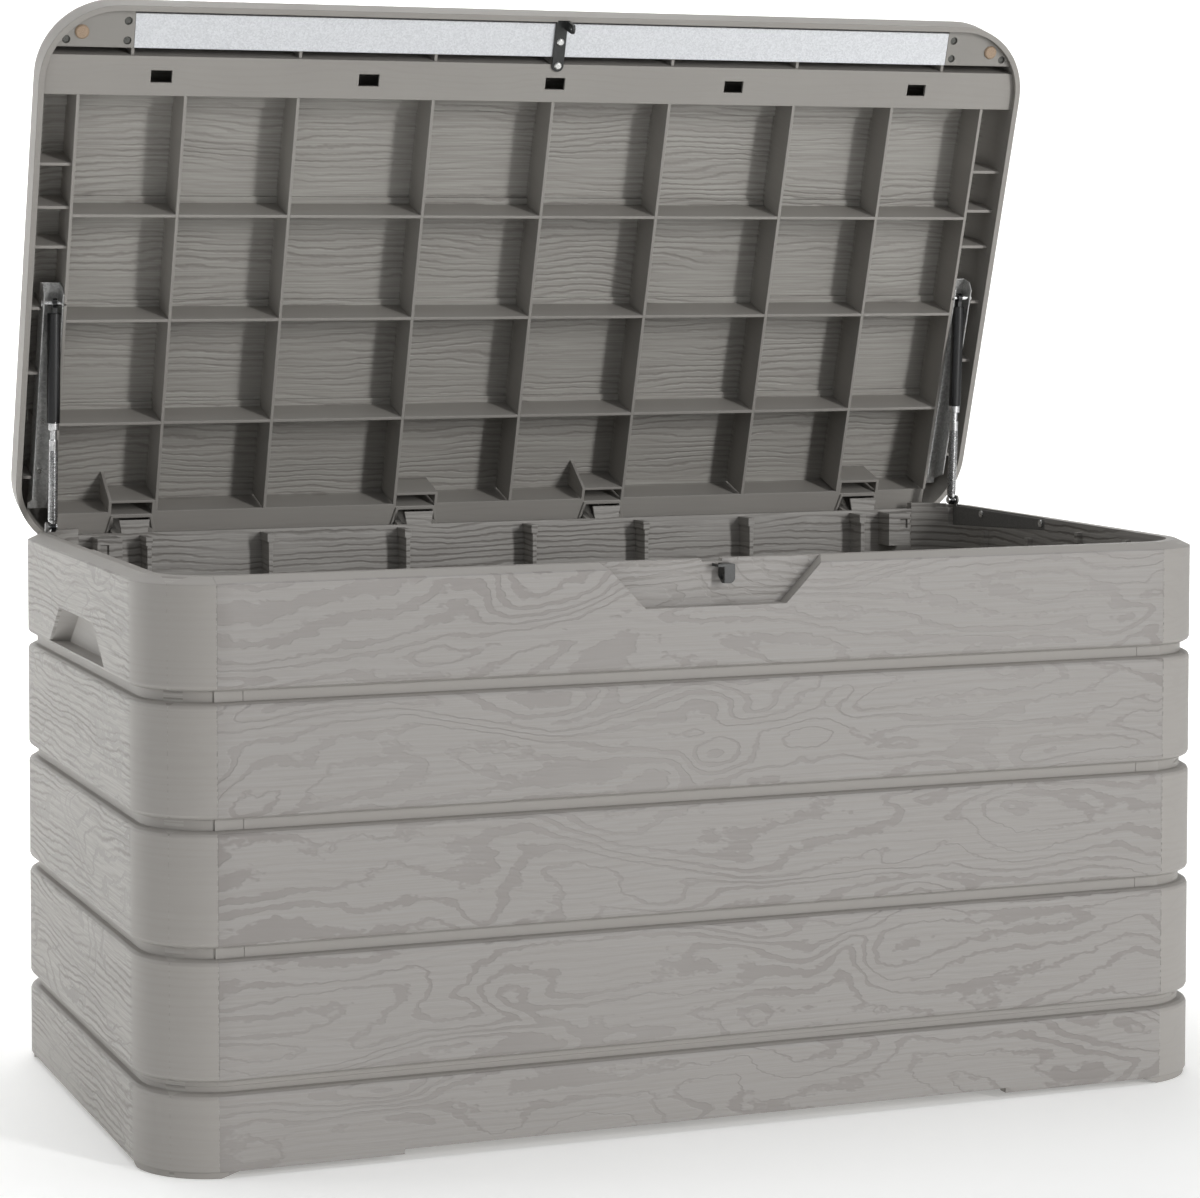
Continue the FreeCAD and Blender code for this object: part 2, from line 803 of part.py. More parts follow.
def cross_ribs(low, high):
    return [box(x0 + rib / 2, x1 - rib / 2, y - rib / 2, y + rib / 2, low, high)
            for y in top_grooves[1:] for x0, x1 in zip(all_ribs, all_ribs[1:])]


def rib_roots():
    half = top_groove_width / 2 + rib
    bars = [box(-half_length, half_length, y - half, y + half, root_z, lid_top) for y in top_grooves]
    return long_ribs(root_z, lid_top) + bars


def lid_band():
    reach = half_length + lid_overhang
    band = box(-reach, reach, band_front, band_back, lid_inside, lid_inside + rib)
    front = box(-reach, reach, band_front, band_front + rib, lid_inside, lid_top)
    back = box(-reach, reach, band_back - rib, band_back, lid_inside, lid_top)
    solid = fuse([band, front, back])
    windows = [box(x - window_length / 2, x + window_length / 2, window_y - window_width / 2,
                   window_y + window_width / 2, lid_inside - 1, lid_inside + rib + 1) for x in window_places]
    return solid.cut(windows)


# Boss over one hinge: a plate with a dark window, walled in behind, and a gusset on its left
def hinge_boss(x):
    x0 = x - boss_half
    x1 = x + boss_half
    plate = box(x0, x1, boss_start, ledge_front, lid_inside, lid_inside + rib)
    back = box(x0, x1, boss_start, boss_start + rib, lid_inside, lid_top)
    right = box(x1 - rib, x1, boss_start, ledge_front, lid_inside, lid_top)
    left = prism([(x0, boss_start, lid_inside), (x0, ledge_front - gusset_rise, lid_top),
                  (x0, ledge_front, lid_top), (x0, ledge_front, lid_inside)], vec(rib, 0, 0))
    return [plate, back, right, left]


# Bent strip round a body tongue, proud of the ledge
def hinge_frame(x):
    y0 = ledge_front + frame_start
    y1 = y0 + frame_width
    low = lid_inside - frame_drop
    top = box(x - frame_top_half, x + frame_top_half, y0, y1, low, lid_inside + rib)
    legs = []
    for side in (-1, 1):
        inner = x + side * (frame_top_half - frame_leg)
        foot = x + side * (frame_foot_half - frame_leg)
        step = side * frame_leg
        legs.append(prism([(inner, y0, low), (inner + step, y0, low), (foot + step, ledge_back, low),
                           (foot, ledge_back, low)], vec(0, 0, frame_drop)))
    return [top] + legs


# Ledge along the hinge side, open round each body tongue
def lid_ledge():
    ledge = box(-pocket_rib, pocket_rib, ledge_front, ledge_back, lid_inside, lid_inside + rib)
    wall_plate = box(-pocket_rib, pocket_rib, ledge_front + window_drop, ledge_front + window_drop + rib,
                     lid_inside, lid_top)
    pieces = [ledge, wall_plate]
    gaps = []
    for x in hinge_places:
        pieces += hinge_boss(x)
        half = boss_half - rib
        gaps.append(box(x - half, x + half, ledge_front - window_rise, ledge_front + window_drop,
                        lid_inside - 1, lid_inside + rib + 1))
        half = frame_top_half - frame_leg
        gaps.append(box(x - half, x + half, ledge_front + tongue_clearance, ledge_back + 1, lid_inside - 1,
                        lid_ceiling - lid_round / 2))
    solid = fuse(pieces).cut(gaps)
    return [solid] + [piece for x in hinge_places for piece in hinge_frame(x)]


def lid_lugs():
    pieces = []
    for x in hinge_places:
        for side in (-1, 1):
            near = x + side * (knuckle_half + lug_gap)
            far = near + side * lug_width
            x0 = min(near, far)
            pieces.append(rod((x0, hinge_y, hinge_z), along_x, barrel_radius, lug_width))
            pieces.append(box(x0, x0 + lug_width, hinge_y - barrel_radius, hinge_y + barrel_radius,
                              hinge_z, lid_top))
    return pieces


def lid_pockets():
    outer = half_length + lid_overhang
    inner = channel_x + channel_half + 1
    pieces = []
    for y in pocket_bars:
        x0 = pocket_rib if y < channel_front - rib else inner
        pieces.append(box(x0, outer, y - rib / 2, y + rib / 2, lid_inside + bar_rise, lid_top))
    for y in channel_rivets + [channel_front + channel_boss]:
        pieces.append(box(channel_x - channel_half, channel_x + channel_half, y - boss_radius,
                          y + boss_radius, channel_base_z + channel_sheet, lid_top))
    return pieces + [mirror_x(p) for p in pieces]


# Front channel of the lid: seats over the bar, bosses over the caps, small ties behind the bar
def lid_front():
    pieces = []
    seat_z = lid_inside + bar_flange + seat_gap
    for x in rib_places:
        pieces.append(box(x - rib, x + rib, bar_front, bar_back, seat_z, lid_top))
    for x in (-bar_half, rib_places[1], rib_places[2], rib_places[4], rib_places[5], bar_half):
        pieces.append(box(x - rib / 2, x + rib / 2, bar_back + seat_gap, band_front + 1,
                          lid_inside + bar_rise, lid_top))
    for x, y in cap_screws:
        boss = rod((x, y, lid_inside + cap_thickness), up, cap_hole_radius + rib / 2,
                   lid_ceiling - lid_inside)
        pieces += [boss, mirror_x(boss)]
    return pieces


def cap_screw_holes(radius, z0, z1):
    pieces = []
    for x, y in cap_screws:
        hole = rod((x, y, z0), up, radius, z1 - z0)
        pieces += [hole, mirror_x(hole)]
    return pieces


# Boss under the strap's rear rivet
def latch_boss():
    y = strap_rivet_places()[1]
    return rod((latch_x, y, lid_inside), up, strap_half, lid_ceiling - lid_inside)


def latch_rivet_holes():
    return [rod((latch_x, y, lid_inside - 1), up, rivet_radius + screw_gap, 2 * rib + 1)
            for y in strap_rivet_places()]


def pin_pockets():
    reach = channel_half + rivet_head_height + 1
    pocket = rod((channel_x - reach, stay_top_y, stay_top_z), along_x, 2 * stay_pin_radius, 2 * reach)
    return [pocket, mirror_x(pocket)]


def lid_shell():
    outer = round_top(lid_outline(0, lid_low, lid_top), lid_round, lid_top)
    cavity = lid_cavity()
    inside = fuse(rib_roots() + lid_ledge() + lid_lugs() + lid_pockets() + lid_front()
                  + [lid_band(), latch_boss()])
    kept = inside.common(lid_outline(lid_wall / 2, hinge_z - 2 * barrel_radius, lid_top))
    kept = kept.common(outer.fuse(box(-half_length, half_length, -half_depth, half_depth - 5,
                                      hinge_z - 2 * barrel_radius, lid_low + 1)))
    shell = fuse([outer.cut(cavity), kept])
    cuts = lid_grooves()
    half = knuckle_half + lug_gap + lug_width + 1
    cuts += [rod((x - half, hinge_y, hinge_z), along_x, hinge_pin_radius + hinge_running_gap, 2 * half)
             for x in hinge_places]
    cuts += cap_screw_holes(screw_radius + screw_gap, lid_inside, lid_ceiling - 2)
    cuts += latch_rivet_holes() + pin_pockets() + long_ribs(lid_inside, root_z)
    notch = strap_half + seat_gap
    cuts.append(box(latch_x - notch, latch_x + notch, strap_front - seat_gap, band_front,
                    lid_low - 1, lid_inside))
    for y in channel_rivets:
        depth = channel_sheet + rivet_grip + seat_gap
        hole = rod((channel_x, y, channel_base_z), up, rivet_radius + screw_gap, depth)
        cuts += [hole, mirror_x(hole)]
    return shell.cut(cuts)


def stiffener_bar():
    z0 = lid_inside
    web = box(-bar_half, bar_half, bar_front, bar_back, z0, z0 + bar_sheet)
    front = box(-bar_half, bar_half, bar_front, bar_front + bar_sheet, z0, z0 + bar_flange)
    back = box(-bar_half, bar_half, bar_back - bar_sheet, bar_back, z0, z0 + bar_flange)
    bar = fuse([web, front, back])
    hole = rod((latch_x, strap_rivet_places()[0], z0 - 1), up, rivet_radius + screw_gap, bar_sheet + 2)
    return bar.cut(hole)


def right_cap():
    inside = lid_outline(lid_wall + seat_gap, lid_inside, lid_inside + cap_thickness)
    plate = inside.common(box(bar_half + seat_gap, half_length, -half_depth, bar_back, lid_inside,
                              lid_inside + cap_thickness))
    z0 = lid_inside + bar_sheet + seat_gap
    side_gap = bar_sheet + seat_gap
    tongue = box(bar_half - cap_tongue, bar_half + 2, bar_front + side_gap, bar_back - side_gap,
                 z0, lid_inside + cap_thickness)
    cap = fuse([plate, tongue])
    cuts = [rod((x, y, lid_inside - 1), up, cap_hole_radius, cap_hole_depth + 1) for x, y in cap_screws]
    cuts += [rod((x, y, lid_inside), up, screw_radius + screw_gap, cap_thickness + 1)
             for x, y in cap_screws]
    stem_radius = bumper_radius / 2 + screw_gap
    cuts.append(rod((bumper_x, bumper_y, lid_inside - 1), up, stem_radius, cap_thickness / 2 + 1))
    return cap.cut(cuts)


def cap_screw_set():
    pieces = []
    for x, y in cap_screws:
        z = lid_inside + cap_hole_depth
        head = rod((x, y, z - screw_head_height), up, cap_hole_radius - seat_gap, screw_head_height)
        pieces.append(fuse([head, rod((x, y, z), up, screw_radius, cap_screw_length)]))
    return group(pieces + [mirror_x(p) for p in pieces])


def bumpers():
    drop = lid_inside - rim_height - bumper_rest_gap
    dome = rod((bumper_x, bumper_y, lid_inside - drop), up, bumper_radius, drop)
    rim_edge = [e for e in dome.Edges if abs(e.CenterOfMass.z - (lid_inside - drop)) < 1e-6]
    dome = dome.makeChamfer(drop * 0.6, rim_edge)
    stem = rod((bumper_x, bumper_y, lid_inside), up, bumper_radius / 2, cap_thickness / 2)
    bumper = fuse([dome, stem])
    return group([bumper, mirror_x(bumper)])


def strap_rivet_places():
    return (strap_front + strap_front_rivet, strap_back - strap_half)


# Latch strap riveted under the bar, with a tab that drops beside the staple
def latch_strap():
    z0 = lid_inside - strap_sheet
    strap = box(latch_x - strap_half, latch_x + strap_half, strap_front, strap_back - strap_half,
                z0, lid_inside)
    end = rod((latch_x, strap_back - strap_half, z0), up, strap_half, strap_sheet)
    bottom = z0 - tab_drop
    tab = box(tab_x, tab_x + tab_sheet, strap_front, strap_front + tab_depth, bottom, lid_inside)
    low_edges = [e for e in tab.Edges if abs(e.CenterOfMass.z - bottom) < 1e-6]
    tab = tab.makeFillet(tab_depth * 0.4, [e for e in low_edges if abs(e.Length - tab_sheet) < 1e-6])
    radius = rivet_radius + screw_gap
    cuts = [rod((latch_x, y, z0 - 1), up, radius, strap_sheet + 2) for y in strap_rivet_places()]
    cuts.append(rod((tab_x - 1, lock_hole_y, lock_hole_z), along_x, lock_hole_radius, tab_sheet + 2))
    return fuse([strap, end, tab]).cut(cuts)


def latch_rivets():
    z0 = lid_inside - strap_sheet
    pieces = []
    for y, depth in zip(strap_rivet_places(), (bar_sheet + 2, rib)):
        head = rod((latch_x, y, z0 - rivet_head_height), up, rivet_head_radius, rivet_head_height)
        edge = [e for e in head.Edges if abs(e.CenterOfMass.z - (z0 - rivet_head_height)) < 1e-6]
        head = head.makeChamfer(rivet_head_height * 0.6, edge)
        pieces.append(fuse([head, rod((latch_x, y, z0), up, rivet_radius, strap_sheet + depth)]))
    return group(pieces)


# Channel that carries the top of the right stay under the lid
def right_channel():
    x0 = channel_x - channel_half
    x1 = channel_x + channel_half
    top = channel_base_z + channel_sheet
    base = box(x0, x1, channel_front, channel_back, channel_base_z, top)
    side = [(x0, channel_front, top), (x0, channel_front, channel_edge_z + channel_cut),
            (x0, channel_front + channel_cut, channel_edge_z),
            (x0, channel_flange_end - channel_taper, channel_edge_z),
            (x0, channel_flange_end, channel_base_z - 2), (x0, channel_flange_end, top)]
    near = prism(side, vec(channel_sheet, 0, 0))
    far = near.copy()
    far.translate(vec(2 * channel_half - channel_sheet, 0, 0))
    cuts = [rod((x0 - 1, stay_top_y, stay_top_z), along_x, stay_pin_radius + pin_seat_gap,
                2 * channel_half + 2)]
    cuts += [rod((channel_x, y, channel_base_z - 1), up, rivet_radius + screw_gap, channel_sheet + 2)
             for y in channel_rivets]
    return fuse([base, near, far]).cut(cuts)


def channel_rivet_set():
    pieces = []
    for y in channel_rivets:
        z0 = channel_base_z
        head = rod((channel_x, y, z0 - rivet_head_height), up, rivet_head_radius * 0.8, rivet_head_height)
        pieces.append(fuse([head, rod((channel_x, y, z0), up, rivet_radius, channel_sheet + rivet_grip)]))
    return group(pieces + [mirror_x(p) for p in pieces])


def right_stay_pin():
    x0 = channel_x - channel_half
    shank = rod((x0, stay_top_y, stay_top_z), along_x, stay_pin_radius, 2 * channel_half)
    heads = [rod((x, stay_top_y, stay_top_z), along_x, pin_head_radius, rivet_head_height)
             for x in (x0 - rivet_head_height, x0 + 2 * channel_half)]
    return fuse([shank] + heads)


# The stay lies along +Y from its top pin while it is drawn, and is then turned onto its open line
def stay_tube():
    x, y, z = stay_x, stay_top_y, stay_top_z
    eye = rod((x - eye_width / 2, y, z), along_x, eye_radius, eye_width)
    neck = box(x - eye_width / 2, x + eye_width / 2, y, y + stay_tube_start + 2, z - eye_radius * 0.7,
               z + eye_radius * 0.7)
    tube = rod((x, y + stay_tube_start, z), along_y, stay_tube_radius, stay_tube_length)
    bore = rod((x, y + stay_tube_start + 5, z), along_y, stay_tube_bore, stay_tube_length)
    hole = rod((x - eye_width, y, z), along_x, stay_pin_radius + hinge_running_gap, 2 * eye_width)
    return fuse([eye, neck, tube]).cut([bore, hole])


def tube_end():
    return stay_top_y + stay_tube_start + stay_tube_length


# The gland's bore lets the sleeve in when the lid shuts
def stay_gland():
    x, z = stay_x, stay_top_z
    end = tube_end()
    plug = rod((x, end - gland_length / 2, z), along_y, stay_tube_bore, gland_length / 2)
    collar = rod((x, end, z), along_y, stay_tube_radius - 1, gland_length)
    bore = rod((x, end - gland_length, z), along_y, sleeve_radius + sliding_gap, 3 * gland_length)
    return fuse([plug, collar]).cut(bore)


def stay_length():
    return math.hypot(*stay_line())


# From the top pin to the foot pin at rest, in the frame of the open box
def stay_line():
    top = opened_point(stay_top_y, stay_top_z)
    return stay_foot_y - top[0], stay_foot_z - top[1]


def opened_point(y, z):
    a = math.radians(open_angle)
    dy = y - hinge_y
    dz = z - hinge_z
    return hinge_y + dy * math.cos(a) + dz * math.sin(a), hinge_z - dy * math.sin(a) + dz * math.cos(a)


def stay_rod():
    foot = stay_top_y + stay_length()
    shaft = rod((stay_x, foot - rod_length, stay_top_z), along_y, rod_radius, rod_length)
    start = tube_end() + sleeve_gap
    sleeve = rod((stay_x, start, stay_top_z), along_y, sleeve_radius, foot - start)
    room = rod((stay_x - eye_radius, foot, stay_top_z), along_x, eye_radius, 2 * eye_radius)
    return fuse([shaft, sleeve]).cut(room)


def stay_piston():
    foot = stay_top_y + stay_length()
    start = foot - rod_length - piston_length
    return rod((stay_x, start, stay_top_z), along_y, stay_tube_bore - sliding_gap, piston_length)


def stay_rod_end():
    foot = stay_top_y + stay_length()
    eye = rod((stay_x - eye_width / 2, foot, stay_top_z), along_x, eye_radius, eye_width)
    radius = stay_pin_radius + pin_seat_gap
    return eye.cut(rod((stay_x - eye_width, foot, stay_top_z), along_x, radius, 2 * eye_width))


def stay_stud():
    foot = stay_top_y + stay_length()
    head_start = stay_x - eye_width / 2 - rivet_head_height
    shank = rod((head_start, foot, stay_top_z), along_x, stay_pin_radius, ear_x - seat_gap - head_start)
    head = rod((head_start, foot, stay_top_z), along_x, pin_head_radius, rivet_head_height)
    return fuse([shank, head])


# Opening the lid turns it back about the hinge line
def opened(shape):
    turned = shape.copy()
    turned.rotate(vec(0, hinge_y, hinge_z), along_x, -open_angle)
    return turned


# A stay piece is carried to the open top pin and turned down to the foot pin
def stayed(shape):
    top = opened_point(stay_top_y, stay_top_z)
    line = stay_line()
    moved = shape.copy()
    moved.translate(vec(0, top[0] - stay_top_y, top[1] - stay_top_z))
    moved.rotate(vec(0, top[0], top[1]), along_x, math.degrees(math.atan2(line[1], line[0])))
    return moved


def parts():
    left = left_panel()
    nodes = {
        "base_tray": base_tray(),
        "front_panel": front_panel(),
        "back_panel": back_panel(),
        "left_panel": left,
        "right_panel": mirror_x(left),
        "panel_screws": panel_screws(),
        "hinge_pins": hinge_pins(),
        "hasp_staple": staple(),
        "staple_rivet": staple_rivets(),
        "stay_bracket_right": stay_bracket(),
        "bracket_rivets": wall_rivets(),
    }
    nodes["stay_bracket_left"] = mirror_x(nodes["stay_bracket_right"])
    cap = right_cap()
    channel = right_channel()
    pin = right_stay_pin()
    lid = {
        "lid_shell": lid_shell(),
        "lid_long_ribs": group([piece.cut(pin_pockets()) for piece in long_ribs(lid_inside, root_z)]),
        "lid_cross_ribs": group(cross_ribs(lid_inside, root_z)),
        "stiffener_bar": stiffener_bar(),
        "bar_end_cap_right": cap,
        "bar_end_cap_left": mirror_x(cap),
        "end_cap_screws": cap_screw_set(),
        "lid_bumpers": bumpers(),
        "latch_strap": latch_strap(),
        "latch_rivets": latch_rivets(),
        "stay_channel_right": channel,
        "stay_channel_left": mirror_x(channel),
        "channel_rivets": channel_rivet_set(),
        "stay_pin_right": pin,
        "stay_pin_left": mirror_x(pin),
    }
    for name, shape in lid.items():
        nodes[name] = opened(shape)
    stay = {
        "stay_tube": stay_tube(),
        "stay_gland": stay_gland(),
        "stay_rod": stay_rod(),
        "stay_piston": stay_piston(),
        "stay_rod_end": stay_rod_end(),
        "stay_stud": stay_stud(),
    }
    for name, shape in stay.items():
        right = stayed(shape)
        nodes[name + "_right"] = right
        nodes[name + "_left"] = mirror_x(right)
    return nodes


os.makedirs("parts", exist_ok=True)
for name, shape in parts().items():
    shape.exportStep("parts/" + name + ".step")
    print(name, "solids", len(shape.Solids), "volume", round(shape.Volume / 1000, 1), "cm3", shape.isValid())
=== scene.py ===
import json
import math
import bpy
import numpy as np
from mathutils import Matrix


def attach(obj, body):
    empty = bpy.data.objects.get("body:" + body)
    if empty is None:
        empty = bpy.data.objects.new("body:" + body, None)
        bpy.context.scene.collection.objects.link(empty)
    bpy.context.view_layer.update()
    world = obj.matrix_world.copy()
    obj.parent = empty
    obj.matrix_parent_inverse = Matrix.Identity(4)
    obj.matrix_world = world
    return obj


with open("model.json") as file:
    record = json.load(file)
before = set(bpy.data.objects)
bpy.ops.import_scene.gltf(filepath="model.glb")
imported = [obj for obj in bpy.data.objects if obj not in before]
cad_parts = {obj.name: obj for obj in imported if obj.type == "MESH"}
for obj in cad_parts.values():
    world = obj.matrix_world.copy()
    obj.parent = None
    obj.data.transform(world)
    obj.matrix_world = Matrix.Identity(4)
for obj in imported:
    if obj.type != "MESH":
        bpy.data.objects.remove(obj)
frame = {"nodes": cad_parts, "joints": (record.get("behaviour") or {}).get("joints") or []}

print("frame loaded:", len(frame["nodes"]), "nodes")
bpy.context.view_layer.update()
joints = {joint["name"]: joint for joint in frame["joints"]}


# Small helpers that place nodes in a material and join them

def colour(red, green, blue):
    # screen values from 0 to 255 to linear light
    steps = [value / 255 for value in (red, green, blue)]
    return [s / 12.92 if s <= 0.04045 else ((s + 0.055) / 1.055) ** 2.4 for s in steps] + [1.0]


def feed(tree, socket, value):
    # joins a node's output to the socket, or sets the socket to a plain value
    if isinstance(value, bpy.types.NodeSocket):
        tree.links.new(value, socket)
    else:
        socket.default_value = value


def maths(tree, operation, first, *others):
    # one Math node, or a row of them where there are more than two values
    for second in others or (None,):
        node = tree.nodes.new("ShaderNodeMath")
        node.operation = operation
        feed(tree, node.inputs[0], first)
        if second is not None:
            feed(tree, node.inputs[1], second)
        first = node.outputs[0]
    return first


def add(tree, *values):
    return maths(tree, "ADD", *values)


def minus(tree, first, second):
    return maths(tree, "SUBTRACT", first, second)


def times(tree, *values):
    return maths(tree, "MULTIPLY", *values)


def most(tree, *values):
    return maths(tree, "MAXIMUM", *values)


def above(tree, value, limit):
    return maths(tree, "GREATER_THAN", value, limit)


def below(tree, value, limit):
    return maths(tree, "LESS_THAN", value, limit)


def fromMiddle(tree, phase):
    # how far a value lies from the middle between two whole numbers, 0 to 0.5
    return maths(tree, "ABSOLUTE", minus(tree, maths(tree, "FRACT", phase), 0.5))


def ramp(tree, value, low, high, toLow=0.0, toHigh=1.0):
    node = tree.nodes.new("ShaderNodeMapRange")
    node.interpolation_type = "SMOOTHSTEP"
    settings = {"Value": value, "From Min": low, "From Max": high, "To Min": toLow,
                "To Max": toHigh}
    for name, number in settings.items():
        feed(tree, node.inputs[name], number)
    return node.outputs[0]


def noise(tree, vector, scale, detail=2.0, roughness=0.5, distortion=0.0):
    node = tree.nodes.new("ShaderNodeTexNoise")
    feed(tree, node.inputs["Vector"], vector)
    settings = {"Scale": scale, "Detail": detail, "Roughness": roughness, "Distortion": distortion}
    for name, number in settings.items():
        node.inputs[name].default_value = number
    return node.outputs["Fac"]


def mixColour(tree, amount, first, second):
    node = tree.nodes.new("ShaderNodeMix")
    node.data_type = "RGBA"
    feed(tree, node.inputs[0], amount)
    start, end = [socket for socket in node.inputs if socket.type == "RGBA"]
    feed(tree, start, first)
    feed(tree, end, second)
    return [socket for socket in node.outputs if socket.type == "RGBA"][0]


def mixValue(tree, amount, first, second):
    node = tree.nodes.new("ShaderNodeMix")
    node.data_type = "FLOAT"
    feed(tree, node.inputs[0], amount)
    node.inputs[2].default_value = first
    node.inputs[3].default_value = second
    return node.outputs[0]


def split(tree, vector):
    node = tree.nodes.new("ShaderNodeSeparateXYZ")
    feed(tree, node.inputs[0], vector)
    return node.outputs


def join(tree, x, y, z):
    node = tree.nodes.new("ShaderNodeCombineXYZ")
    for socket, value in zip(node.inputs, (x, y, z)):
        feed(tree, socket, value)
    return node.outputs[0]


def bump(tree, height, strength, distance, normal):
    node = tree.nodes.new("ShaderNodeBump")
    node.inputs["Strength"].default_value = strength
    node.inputs["Distance"].default_value = distance
    feed(tree, node.inputs["Height"], height)
    feed(tree, node.inputs["Normal"], normal)
    return node.outputs[0]


def newGroup(name, inputs, outputs):
    # an effect shared by several materials; an input is (name, kind of socket, value at first)
    tree = bpy.data.node_groups.new(name, "ShaderNodeTree")
    for label, kind, start in inputs:
        socket = tree.interface.new_socket(label, in_out="INPUT", socket_type="NodeSocket" + kind)
        if start is not None:
            socket.default_value = start
    for label, kind in outputs:
        tree.interface.new_socket(label, in_out="OUTPUT", socket_type="NodeSocket" + kind)
    given = tree.nodes.new("NodeGroupInput").outputs
    return tree, given, tree.nodes.new("NodeGroupOutput").inputs


def placeGroup(tree, group, **values):
    node = tree.nodes.new("ShaderNodeGroup")
    node.node_tree = group
    for label, value in values.items():
        feed(tree, node.inputs[label], value)
    return node.outputs


def newMaterial(name):
    material = bpy.data.materials.new(name)
    material.use_nodes = True
    tree = material.node_tree
    place = tree.nodes.new("ShaderNodeTexCoord").outputs["Object"]
    return material, tree, tree.nodes["Principled BSDF"], place


# Effects shared by several materials

grainLook = {
    "alongScale": 4.1,        # broad figure: features per metre along a plank
    "acrossScale": 12.0,      # and across it
    "distortion": 0.9,
    "linesPerMetre": 36.0,    # growth lines that run along a plank between the knots
    "wiggleAlong": 46.0,      # small waves of each line
    "wiggleAcross": 90.0,
    "wiggle": 0.85,
    "widthAlong": 5.0,        # where the dark lines grow broad or thin out
    "widthAcross": 15.0,
    "widthEdge": (0.3, 0.7),
    "thinnest": 0.2,
    "broadest": 2.0,
    "lineEdge": (-0.06, 0.05),
    "fineLines": 122.0,       # fine raised lines per metre on the inner faces
    "fineSwirl": 4.0,
    "fineWiggle": 0.7,
    "fineEdge": (0.02, 0.30),
    "fadeAlong": 5.0,         # where the fine lines fade
    "fadeAcross": 26.0,
    "fadeEdge": (0.33, 0.6),
    "faintest": 0.15,
    "rippleAlong": 6.0,       # slow bends of the fine lines
    "rippleAcross": 17.0,
    "streakAlong": 9.0,       # brushed streaks between the rings
    "streakAcross": 620.0,
    "lineDepth": 0.5,
    "streakHeight": 0.35,
    "plankStep": 7.31,        # how far apart the noise of two planks lies
}


def makeGrain(user):
    # embossed wood grain: contour lines of a noise on a slope, as a saw cut through growth rings
    # gives; "Line" is a set of fine wavy lines for the inner faces
    inputs = [("Along", "Float", 0.0), ("Across", "Float", 0.0), ("Plank", "Float", 0.0),
              ("Rings", "Float", 6.0), ("Width", "Float", 0.3)]
    outputs = [("Band", "Float"), ("Streak", "Float"), ("Line", "Float"), ("Height", "Float")]
    tree, given, out = newGroup("woodGrain", inputs, outputs)
    far = times(tree, given["Plank"], user["plankStep"])

    def stretched(along, across, **shape):
        place = join(tree, times(tree, given["Along"], along),
                     times(tree, given["Across"], across), far)
        return noise(tree, place, 1.0, **shape)

    swirl = stretched(user["alongScale"], user["acrossScale"], detail=1.0, roughness=0.3,
                      distortion=user["distortion"])
    wave = stretched(user["wiggleAlong"], user["wiggleAcross"], roughness=0.6)
    breadth = stretched(user["widthAlong"], user["widthAcross"], detail=1.0)
    phase = add(tree, times(tree, given["Across"], user["linesPerMetre"]),
                times(tree, swirl, given["Rings"]), times(tree, wave, user["wiggle"]))
    spread = times(tree, given["Width"],
                   ramp(tree, breadth, *user["widthEdge"], user["thinnest"], user["broadest"]))
    within = minus(tree, times(tree, spread, 0.5), fromMiddle(tree, phase))
    band = ramp(tree, within, *user["lineEdge"])
    streak = stretched(user["streakAlong"], user["streakAcross"], roughness=0.6)

    ripple = stretched(user["rippleAlong"], user["rippleAcross"], detail=1.0)
    bend = add(tree, times(tree, ripple, user["fineSwirl"]), times(tree, wave, user["fineWiggle"]))
    finePhase = add(tree, times(tree, given["Across"], user["fineLines"]), bend)
    fade = ramp(tree, stretched(user["fadeAlong"], user["fadeAcross"]), *user["fadeEdge"],
                user["faintest"], 1.0)
    dip = ramp(tree, fromMiddle(tree, finePhase), *user["fineEdge"], 1.0, 0.0)

    tree.links.new(band, out["Band"])
    tree.links.new(streak, out["Streak"])
    tree.links.new(minus(tree, 1.0, times(tree, dip, fade)), out["Line"])
    raised = times(tree, minus(tree, 1.0, band), streak, user["streakHeight"])
    tree.links.new(minus(tree, raised, times(tree, band, user["lineDepth"])), out["Height"])
    return tree


mouldLook = {
    "toneScale": 3.2,         # slow change of tone over moulded plastic
    "pitScale": 1400.0,       # fine pitting of a spark-eroded mould
    "edgeRadius": 0.0012,     # how far moulding and pressing round a sharp edge
    "edgeSamples": 6,
}


def makeHaze(user):
    tree, given, out = newGroup("mouldHaze", [("Vector", "Vector", None)],
                                [("Tone", "Float"), ("Pit", "Float")])
    tone = noise(tree, given["Vector"], user["toneScale"], detail=3.0, roughness=0.55)
    tree.links.new(tone, out["Tone"])
    tree.links.new(noise(tree, given["Vector"], user["pitScale"], detail=1.0), out["Pit"])
    return tree


def makeEdge(user):
    # turns the normal over a sharp edge as a small rounding would
    tree, _, out = newGroup("softEdge", [], [("Normal", "Vector")])
    node = tree.nodes.new("ShaderNodeBevel")
    node.samples = user["edgeSamples"]
    node.inputs["Radius"].default_value = user["edgeRadius"]
    tree.links.new(node.outputs[0], out["Normal"])
    return tree


zincLook = {
    "speckScale": 900.0,      # fine speckle over the grains
    "grainShare": 0.6,        # how much the grains and the speckle set the tone
    "speckShare": 0.4,
    "speckEdge": (0.2, 0.8),
    "glossSpread": (-0.06, 0.10),
    "relief": 0.15,
    "depth": 0.0001,
}


def makeSpangle(user):
    # zinc spangle: flat grains of slightly different grey, with a fine speckle over them
    inputs = [("Vector", "Vector", None), ("Grains", "Float", 420.0)]
    tree, given, out = newGroup("zincSpangle", inputs, [("Shade", "Float"), ("Speck", "Float")])
    cells = tree.nodes.new("ShaderNodeTexVoronoi")
    cells.feature = "F1"
    tree.links.new(given["Vector"], cells.inputs["Vector"])
    tree.links.new(given["Grains"], cells.inputs["Scale"])
    tree.links.new(split(tree, cells.outputs["Color"])[0], out["Shade"])
    tree.links.new(noise(tree, given["Vector"], user["speckScale"], roughness=0.7), out["Speck"])
    return tree


